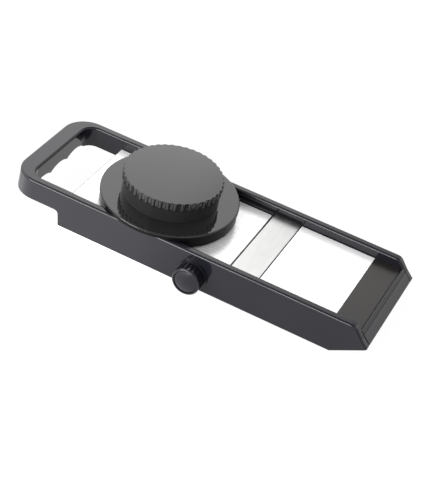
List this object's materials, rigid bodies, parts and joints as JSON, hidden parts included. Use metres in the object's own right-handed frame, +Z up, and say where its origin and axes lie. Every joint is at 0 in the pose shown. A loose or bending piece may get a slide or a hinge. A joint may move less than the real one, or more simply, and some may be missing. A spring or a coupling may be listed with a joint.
{
  "type": "mandoline slicer",
  "caption": "Kitchen slicer: long frame with end handle, hinged steel ramp set by a side knob, fixed straight blade, steel landing and a sliding hand guard with a press-down palm grip.",
  "frame": {"origin": "centre of the overall footprint, on the plane that the frame's underside rests on", "axes": "+X along the body from the handle to the foot, +Z up out of the slicing deck, knob on the -Y side"},
  "size_m": [0.3614, 0.1401, 0.0632],
  "materials": {
    "black_plastic": "glossy moulded ABS",
    "guard_plastic": "high gloss moulded ABS",
    "inner_plastic": "plain moulded plastic under the ramp",
    "bush_plastic": "natural acetal",
    "foot_rubber": "soft ribbed rubber",
    "sheet_steel": "fine brushed stainless sheet",
    "blade_steel": "cross-brushed hardened stainless",
    "rod_steel": "turned steel",
    "zinc_steel": "bright zinc-plated fasteners"
  },
  "bodies": {
    "frame": {"frame": "black_plastic", "foot_pad": "foot_rubber", "blade": "blade_steel", "blade_studs": "rod_steel", "blade_washers": "zinc_steel", "blade_nuts": "zinc_steel", "landing_plate": "sheet_steel", "hinge_rod": "rod_steel", "bush_near": "bush_plastic", "bush_far": "bush_plastic"},
    "ramp": {"ramp_plate": "sheet_steel", "ramp_carrier": "inner_plastic"},
    "adjuster": {"cam_shaft": "rod_steel", "cam_near": "bush_plastic", "cam_far": "bush_plastic", "shaft_clip": "rod_steel", "spring_washer": "zinc_steel", "adjust_knob": "black_plastic", "knob_cap": "guard_plastic", "knob_screw": "zinc_steel"},
    "guard": {"guard_plate": "guard_plastic", "guide_tube": "inner_plastic"},
    "plunger": {"palm_cap": "guard_plastic", "pusher": "inner_plastic", "spikes": "blade_steel", "pusher_screws": "zinc_steel"}
  },
  "joints": [
    {"name": "adjuster_turn", "type": "hinge", "parent": "frame", "child": "adjuster", "pos_m": [0.01285, 0.00545, 0.0137], "axis": [0, 1, 0], "range_deg": [-80, 185]},
    {"name": "ramp_tilt", "type": "hinge", "parent": "frame", "child": "ramp", "pos_m": [-0.11825, 0.00545, 0.0208], "axis": [0, 1, 0], "range_deg": [-0.65, 1.5]},
    {"name": "guard_slide", "type": "slide", "parent": "frame", "child": "guard", "axis": [1, 0, 0], "range_m": [-0.036, 0.15]},
    {"name": "plunger_slide", "type": "slide", "parent": "guard", "child": "plunger", "axis": [0, 0, 1], "range_m": [0, 0.021]}
  ],
  "couplings": [
    {"joint": "ramp_tilt", "follows": "adjuster_turn", "ratio": 0.00806}
  ]
}
